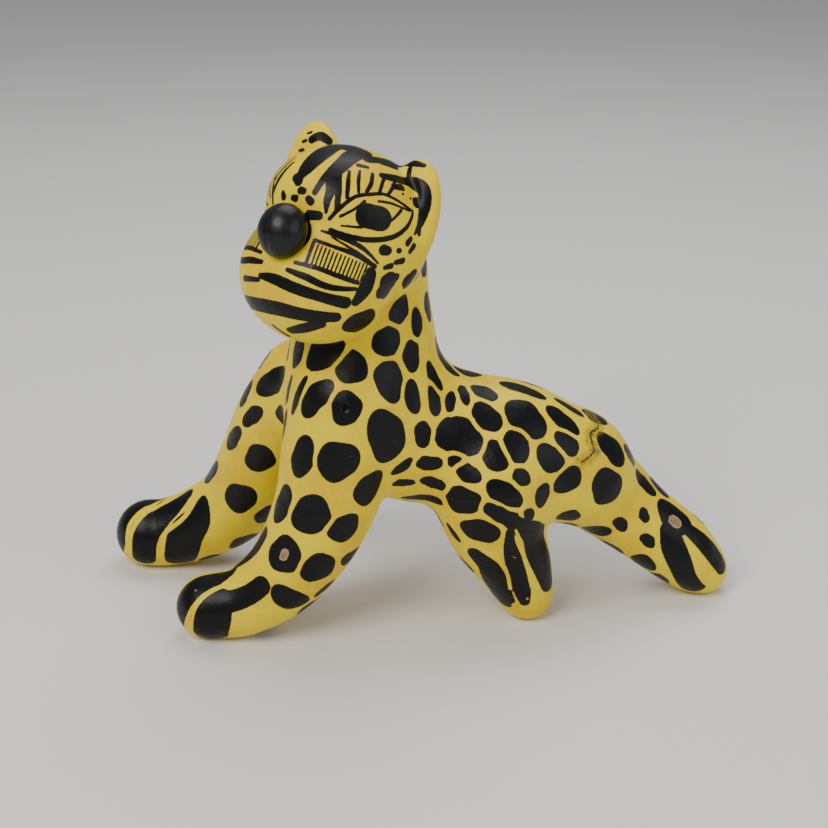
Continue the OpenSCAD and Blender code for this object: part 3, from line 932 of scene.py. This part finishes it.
strokes = []
for colour, group in middleStrokes.items():
    brush = paint["broadBrush"] if colour == "black" else 1
    for points in group:
        strokes.append((colour, headStroke(brushed(points, brush))))
for mirror in (1, -1):
    for points in cheekStrokes:
        mirrored = [(mirror * across, lift, half) for across, lift, half in points]
        strokes.append(("black", headStroke(brushed(mirrored, paint["fineBrush"]))))
    for bar in range(comb["bars"]):
        share = bar / (comb["bars"] - 1)
        across, top, bottom = [a + (b - a) * share for a, b in zip(comb["from"], comb["to"])]
        foot = across + comb["slant"] * share
        strokes.append(("black", headStroke([(mirror * across, top, comb["half"]),
                                             (mirror * foot, bottom, comb["half"])])))
for points in crestStrokes:
    strokes.append(("black", headStroke(points)))
for side, group in earStrokes.items():
    for points in group:
        strokes.append(("black", earStroke(side, points)))
for limb, group in pawStrokes.items():
    for colour, points in group:
        strokes.append((colour, limbStroke(limb, points)))
fillSpots()
fillHead()
print("strokes", len(strokes), "spots in all", len(spots.rows))


# Chips that show the wood: limb, along, around, half length, half width
chipPlan = [("frontLeft", 50.5, 27, 2.2, 1.3), ("hindRight", 39, -47, 2.6, 1.9),
            ("torso", 68, -46, 1.8, 0.9),
            ("hindLeft", 40, -4, 0.6, 0.3), ("hindLeft", 24, -12, 0.5, 0.3), ("frontLeft", 91, 58, 0.5, 0.3)]
crackPlan = [("torso", [(66, -96, 0.6), (68, -76, 0.5), (65, -60, 0.7), (67, -44, 0.5), (64, -30, 0.6)])]


# Nail heads that show under the paint: limb, along, around, radius
studPlan = [("neck", 4.6, -7.6, 1.5)]


def wearReadings(p):
    lines = {"chip": [], "crack": [], "stud": []}
    for limb, along, around, long, wide in chipPlan:
        half = long - wide
        lines["chip"].append(limbStroke(limb, [(along - half, around, wide), (along + half, around, wide)]))
    for limb, points in crackPlan:
        lines["crack"].append(limbStroke(limb, points))
    for limb, along, around, radius in studPlan:
        lines["stud"].append(limbStroke(limb, [(along, around, radius), (along + 0.3, around, radius)]))
    readings = {}
    for title, group in lines.items():
        nearest = np.min([tubeDistance(p, line) for line in group], axis=0)
        readings[title] = np.clip(nearest, -paint["reach"], paint["reach"])
    return readings


# Tail and nose
# Tail and nose
tailPeg = {"radius": 2.5, "from": -8.0, "to": 2.0, "bore": 2.56, "boreDepth": -8.4, "faceRadius": 6.0}


def tailDistance(p):
    return tubeDistance(p, tubes["tail"])


def carveTail():
    tube = tubes["tail"]
    low = (tube[:, :3] - tube[:, 3:]).min(0) - 1.5
    high = (tube[:, :3] + tube[:, 3:]).max(0) + 1.5
    points, quads = skinOf(tailDistance, low, high, figure["headPitch"])
    whole = meshObject("wholeTail", points, quads)
    tail = combine("tail", whole, blockObject("tail", 0.1, 200), "INTERSECT")
    discard(whole)
    point, out = seatFrame("tail")
    peg = rodObject(point, out, tailPeg["radius"], tailPeg["from"], tailPeg["to"])
    return combine("tail", tail, peg, "UNION")


def cutTailSeat(body):
    point, out = seatFrame("tail")
    flat = rodObject(point, out, tailPeg["faceRadius"], 0, 12)
    faced = combine("body", body, flat, "DIFFERENCE")
    discard(body)
    bore = rodObject(point, out, tailPeg["bore"], tailPeg["boreDepth"], 1)
    bored = combine("body", faced, bore, "DIFFERENCE")
    discard(faced)
    return bored


def makeNose():
    points, faces = eggMesh(noseShape["half"], 90, 140)
    # a shallow crease down the front and a slight squareness keep it from being a plain egg
    half = np.array(noseShape["half"])
    d = points / half
    front = np.clip(-d[:, 0], 0, 1) ** 2 * np.clip(0.3 - d[:, 2], 0, 1)
    crease = 0.35 * np.exp(-(d[:, 1] / 0.10) ** 2) * front
    wave = 0.05 * np.sin(3.1 * d[:, 1] + 1.7 * d[:, 2]) + 0.04 * np.sin(4.3 * d[:, 2] - 2.2 * d[:, 0])
    length = np.linalg.norm(points, axis=1)
    points = points * (1 + (wave - crease) / length)[:, None]
    return meshObject("nose", fromHead(points + np.array(noseShape["at"])), faces)


pieces["tail"] = carveTail()
pieces["body"] = cutTailSeat(pieces["body"])
pieces["nose"] = makeNose()
tailPlan = {"rows": 9, "first": 7, "gap": 7.6, "turns": (20, 140, 260), "twist": 60,
            "length": 5.2, "width": 4.0}


def tailSpots(plan):
    random = np.random.default_rng(paint["seed"] + 3)
    made = Spots()
    for step in range(plan["rows"]):
        for around in plan["turns"]:
            nudge = random.uniform(-1, 1, 4)
            along = plan["first"] + step * plan["gap"] + nudge[0]
            centre, heading, out = limbPlace("tail", along, around + step * plan["twist"] + nudge[1] * 12)
            radius = float(np.interp(along, [0, 70], [4.5, 4.0]))
            made.add(centre + out * radius, heading, out, plan["length"] + 0.6 * nudge[2],
                     plan["width"] + 0.4 * nudge[3], 25 * nudge[0])
    return made.rows


# Readings and normals on every carved piece
creaseReach = 2.6


def finishPiece(piece, field, rows, lines):
    mesh = piece.data
    count = len(mesh.vertices)
    p = np.zeros(count * 3, np.float32)
    mesh.vertices.foreach_get("co", p)
    p = p.reshape(-1, 3) / mm
    base, normal, _ = slope(field, p)
    faceNormals = np.zeros(len(mesh.polygons) * 3, np.float32)
    mesh.polygons.foreach_get("normal", faceNormals)
    faceNormals = faceNormals.reshape(-1, 3)
    starts = np.zeros(len(mesh.polygons), np.int32)
    totals = np.zeros(len(mesh.polygons), np.int32)
    mesh.polygons.foreach_get("loop_start", starts)
    mesh.polygons.foreach_get("loop_total", totals)
    corners = np.zeros(len(mesh.loops), np.int32)
    mesh.loops.foreach_get("vertex_index", corners)
    owner = np.repeat(np.arange(len(totals)), totals)
    lined = (normal[corners] * faceNormals[owner]).sum(1)
    onSkin = (np.abs(base[corners]) < 0.08) & (lined > 0.55)
    offSkin = np.bincount(owner, ~onSkin, len(totals))
    skinFace = offSkin == 0
    mesh.polygons.foreach_set("material_index", np.where(skinFace, 0, 1).astype(np.int32))
    mesh.polygons.foreach_set("use_smooth", np.ones(len(totals), bool))
    chosen = np.where(skinFace[owner][:, None], normal[corners], faceNormals[owner])
    mesh.normals_split_custom_set(chosen.tolist())
    store(mesh, "ink", inkReading(p, normal, rows, lines))
    for title, values in wearReadings(p).items():
        store(mesh, title, values)
    # how deeply the skin sits in a hollow; the paint turns this into painted shade in hollows and creases
    beyond = field((p + normal * creaseReach).astype(np.float32))
    store(mesh, "crease", np.clip(1 - beyond / creaseReach, 0, 1))
    mesh.update()


def store(mesh, name, values):
    layer = mesh.attributes.new(name, "FLOAT", "POINT")
    layer.data.foreach_set("value", np.asarray(values, np.float32))


for name, piece in pieces.items():
    if name == "nose":
        piece.data.polygons.foreach_set("use_smooth", np.ones(len(piece.data.polygons), bool))
    elif name == "tail":
        finishPiece(piece, tailDistance, tailSpots(tailPlan), [])
    else:
        finishPiece(piece, carvedDistance, spots.rows, strokes)
    print("finished", name, len(piece.data.polygons))


# Materials
class Value:
    def __init__(self, shader, socket):
        self.shader = shader
        self.socket = socket

    def math(self, operation, *others):
        return self.shader.node("ShaderNodeMath", {"operation": operation}, dict(enumerate((self, *others))))

    def __add__(self, other):
        return self.math("ADD", other)

    __radd__ = __add__

    def __sub__(self, other):
        return self.math("SUBTRACT", other)

    def __rsub__(self, other):
        return self.shader.node("ShaderNodeMath", {"operation": "SUBTRACT"}, {0: other, 1: self})

    def __mul__(self, other):
        return self.math("MULTIPLY", other)

    __rmul__ = __mul__

    def __truediv__(self, other):
        return self.math("DIVIDE", other)

    def __rtruediv__(self, other):
        return self.shader.node("ShaderNodeMath", {"operation": "DIVIDE"}, {0: other, 1: self})

    def __pow__(self, other):
        return self.math("POWER", other)

    def step(self, low, high):
        return self.shader.node("ShaderNodeMapRange", {"interpolation_type": "SMOOTHSTEP"},
                                {"Value": self, "From Min": low, "From Max": high})


class Shader:
    def __init__(self, name):
        self.material = bpy.data.materials.new(name)
        self.material.use_nodes = True
        self.tree = self.material.node_tree
        self.tree.nodes.clear()
        place = self.node("ShaderNodeTexCoord", {}, {}, "Object")
        self.place = self.vector("SCALE", place, scale=1 / mm)

    def node(self, kind, settings, inputs, output=0):
        made = self.tree.nodes.new(kind)
        for key, value in settings.items():
            setattr(made, key, value)
        for key, value in inputs.items():
            socket = made.inputs[key]
            if isinstance(value, Value):
                self.tree.links.new(value.socket, socket)
            else:
                socket.default_value = value
        return Value(self, made.outputs[output])

    def vector(self, operation, a, b=None, scale=None):
        inputs = {0: a}
        if b is not None:
            inputs[1] = b
        if scale is not None:
            inputs["Scale"] = scale
        return self.node("ShaderNodeVectorMath", {"operation": operation}, inputs)

    def reading(self, name):
        settings = {"attribute_name": name, "attribute_type": "GEOMETRY"}
        return self.node("ShaderNodeAttribute", settings, {}, "Fac")

    def noise(self, size, detail=2.0, roughness=0.5, place=None, distortion=0.0):
        return self.node("ShaderNodeTexNoise", {}, {"Vector": place or self.place, "Scale": 1 / size,
                                                    "Detail": detail, "Roughness": roughness,
                                                    "Distortion": distortion})

    def mix(self, factor, a, b):
        made = self.tree.nodes.new("ShaderNodeMix")
        made.data_type = "RGBA"
        for socket, value in ((made.inputs[0], factor), (made.inputs[6], a), (made.inputs[7], b)):
            if isinstance(value, Value):
                self.tree.links.new(value.socket, socket)
            else:
                socket.default_value = (*value, 1) if isinstance(value, tuple) else value
        return Value(self, made.outputs[2])

    def finish(self, colour, roughness, height, constants=None, **varying):
        bump = self.node("ShaderNodeBump", {}, {"Height": height, "Distance": mm, "Strength": 1.0})
        inputs = {"Base Color": colour, "Roughness": roughness, "Normal": bump}
        inputs.update(varying)
        inputs.update(constants or {})
        surface = self.node("ShaderNodeBsdfPrincipled", {}, inputs)
        made = self.tree.nodes.new("ShaderNodeOutputMaterial")
        self.tree.links.new(surface.socket, made.inputs["Surface"])
        return self.material


skinLook = {
    "yellow": (0.84, 0.64, 0.002),
    "golden": (0.76, 0.49, 0.0),
    "pale": (0.88, 0.74, 0.03),
    # a dark brown used for dirt specks and for the painted shade in hollows and creases
    "dirtAndShade": (0.36, 0.20, 0.004),
    "black": (0.0015, 0.0022, 0.0026),
    "worn": (0.010, 0.012, 0.012),
    "wood": (0.33, 0.215, 0.10),
    "woodDark": (0.17, 0.10, 0.045),
    "primer": (0.40, 0.28, 0.15),
    "seam": (0.27, 0.19, 0.012),
    "crack": (0.09, 0.055, 0.02),
    "thickness": 0.05,
    "yellowRoughness": 0.44,
    "blackRoughness": 0.38,
}


def makeSkin(look):
    s = Shader("paintedSkin")
    ink, chip, crack, crease, stud = [s.reading(name) for name in ("ink", "chip", "crack", "crease", "stud")]
    ragged = (s.noise(1.1, 3.0) - 0.5) * 0.30 + (s.noise(0.35, 2.0) - 0.5) * 0.10
    black = (ink + ragged).step(paint["edge"], -paint["edge"])
    broad, fine, streak = s.noise(16, 3.0), s.noise(2.2, 4.0, 0.6), s.noise(0.9, 3.0, 0.6)
    yellow = s.mix(broad.step(0.42, 0.68), look["yellow"], look["golden"])
    yellow = s.mix((fine.step(0.50, 0.78)) * 0.45, yellow, look["pale"])
    # the yellow is thin and a little deeper where it meets the black strokes
    rim = (ink + ragged).step(0.9, 0.0) * 0.2
    yellow = s.mix(rim, yellow, look["golden"])
    # painted shade: the yellow darkens towards brown in hollows and creases, where less light would fall
    yellow = s.mix(crease.step(0.25, 0.95) * 0.55, yellow, look["dirtAndShade"])
    dark = s.mix(fine.step(0.60, 0.85) * 0.5, look["black"], look["worn"])
    colour = s.mix(black, yellow, dark)
    specks = s.noise(1.6, 2.0).step(0.735, 0.76) * s.noise(14, 1.0).step(0.5, 0.62)
    colour = s.mix(specks * 0.6, colour, look["dirtAndShade"])
    chipEdge = chip + (s.noise(0.9, 3.0) - 0.5) * 1.2
    bare = chipEdge.step(0.06, -0.06)
    grainPlace = s.vector("MULTIPLY", s.place, (1.0, 1.0, 6.0))
    grain = s.noise(2.4, 4.0, 0.6, grainPlace)
    wood = s.mix(grain.step(0.35, 0.7), look["wood"], look["woodDark"])
    wood = s.mix(chipEdge.step(-0.75, -0.25), wood, look["primer"])
    colour = s.mix(bare, colour, wood)
    dirt = (crack + (s.noise(2.5, 3.0) - 0.5) * 3.0).step(2.6, 0.6)
    colour = s.mix(dirt * s.noise(0.7, 4.0, 0.7).step(0.36, 0.60) * 0.9, colour, look["seam"])
    colour = s.mix(dirt * s.noise(0.45, 3.0, 0.7).step(0.56, 0.66) * 0.9, colour, look["crack"])
    crackEdge = crack + (s.noise(0.8, 3.0) - 0.5) * 1.6 + 0.25
    split = crackEdge.step(0.12, -0.12)
    colour = s.mix(split, colour, look["crack"])
    roughness = black * (look["blackRoughness"] - look["yellowRoughness"]) + look["yellowRoughness"]
    roughness = roughness + (fine - 0.5) * 0.16 + bare * 0.3 + split * 0.3
    height = (ink + ragged).step(0.25, -0.25) * look["thickness"] + (streak - 0.5) * 0.05
    height = height + (s.noise(5.5, 2.0) - 0.5) * 0.35 - bare * 0.10 - split * 0.25
    height = height + stud.step(0.35, -0.75) * 0.45
    roughness = roughness - stud.step(0.2, -0.4) * 0.14
    return s.finish(colour, roughness, height, {"Coat Roughness": 0.3, "Coat Weight": 0.04,
                                                "Specular IOR Level": 0.2})


def makeWood(name, light, dark, ring):
    s = Shader(name)
    warp = (s.noise(9, 3.0) - 0.5) * 2.4
    split = s.node("ShaderNodeSeparateXYZ", {}, {"Vector": s.place}, 0)
    across = s.node("ShaderNodeSeparateXYZ", {}, {"Vector": s.place}, 1)
    radius = ((split * split + across * across) ** 0.5 + warp) / ring
    rings = radius.math("FRACT").step(0.1, 0.95)
    fibre = s.noise(0.7, 4.0, 0.6, s.vector("MULTIPLY", s.place, (1.0, 1.0, 0.12)))
    colour = s.mix(rings * 0.7 + fibre * 0.3, light, dark)
    return s.finish(colour, fibre * 0.2 + 0.55, fibre * 0.12 + rings * 0.05)


def makePaste():
    s = Shader("sawdustPaste")
    grains = s.noise(0.5, 3.0, 0.7)
    colour = s.mix(grains.step(0.35, 0.7), (0.46, 0.30, 0.14), (0.66, 0.48, 0.26))
    return s.finish(colour, grains * 0.2 + 0.7, grains * 0.35)


def makeNail():
    s = Shader("nailSteel")
    rust = s.noise(1.3, 4.0, 0.65).step(0.48, 0.62)
    colour = s.mix(rust, (0.42, 0.41, 0.40), (0.16, 0.06, 0.025))
    return s.finish(colour, rust * 0.4 + 0.32, rust * 0.06 + s.noise(0.3, 2.0) * 0.02,
                    Metallic=1.0 - rust * 0.8)


def makeNoseGloss():
    s = Shader("noseGloss")
    cloud, fine = s.noise(3.0, 3.0), s.noise(0.8, 3.0)
    colour = s.mix(cloud.step(0.4, 0.75) * 0.6, (0.0015, 0.0022, 0.0026), (0.010, 0.012, 0.012))
    return s.finish(colour, cloud * 0.14 + 0.30, (cloud - 0.5) * 0.25 + (fine - 0.5) * 0.04,
                    {"Coat Weight": 0.06, "Coat Roughness": 0.2, "Specular IOR Level": 0.30})


looks = {
    "painted_skin": makeSkin(skinLook),
    "nose_gloss": makeNoseGloss(),
    "bare_wood": makeWood("bareWood", (0.62, 0.44, 0.25), (0.44, 0.27, 0.13), 2.6),
    "nail_steel": makeNail(),
    "sawdust_paste": makePaste(),
}
print("materials ready")


# Every piece takes its place in the frame
# piece: its name in the scene and the node it stands for
placing = {
    "body": ("bodyCarved", "body"),
    "head": ("headCarved", "head"),
    "earLeft": ("earLeftCarved", "ear_left"),
    "earRight": ("earRightCarved", "ear_right"),
    "nose": ("noseCarved", "nose"),
    "frontLeft": ("legFrontLeftCarved", "leg_front_left"),
    "frontRight": ("legFrontRightCarved", "leg_front_right"),
    "hindLeft": ("legHindLeftCarved", "leg_hind_left"),
    "hindRight": ("legHindRightCarved", "leg_hind_right"),
    "tail": ("tailCarved", "tail"),
    "pasteNeck": ("pasteNeckFill", "paste_neck"),
    "pasteFrontLeft": ("pasteFrontLeftFill", "paste_front_left"),
    "pasteFrontRight": ("pasteFrontRightFill", "paste_front_right"),
    "pasteHindLeft": ("pasteHindLeftFill", "paste_hind_left"),
    "pasteHindRight": ("pasteHindRightFill", "paste_hind_right"),
}
wanted = set(pieces.values()) | set(frame["nodes"].values())
# leftover cutters go
for thing in list(bpy.context.scene.objects):
    if thing.type == "MESH" and thing not in wanted and not thing.get("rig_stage"):
        discard(thing)
for key, (title, node) in placing.items():
    piece = pieces[key]
    slotName = "nose_gloss" if key == "nose" else "painted_skin"
    cutLook = "sawdust_paste" if key.startswith("paste") else "bare_wood"
    piece.name = title
    piece.data.materials.clear()
    piece.data.materials.append(looks[slotName])
    piece.data.materials.append(looks[cutLook])
    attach(piece, "tail" if node == "tail" else "figure")
    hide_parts(node)

keptNodes = ["neck_dowel", "dowel_front_left", "dowel_front_right", "dowel_hind_left", "dowel_hind_right",
             "ear_peg_left", "ear_peg_right", "nose_peg", "shoulder_nails"]
for node in keptNodes:
    kept = frame["nodes"][node]
    slotName = "nail_steel" if node == "shoulder_nails" else "bare_wood"
    kept.data.materials.clear()
    kept.data.materials.append(looks[slotName])
print("pieces placed")
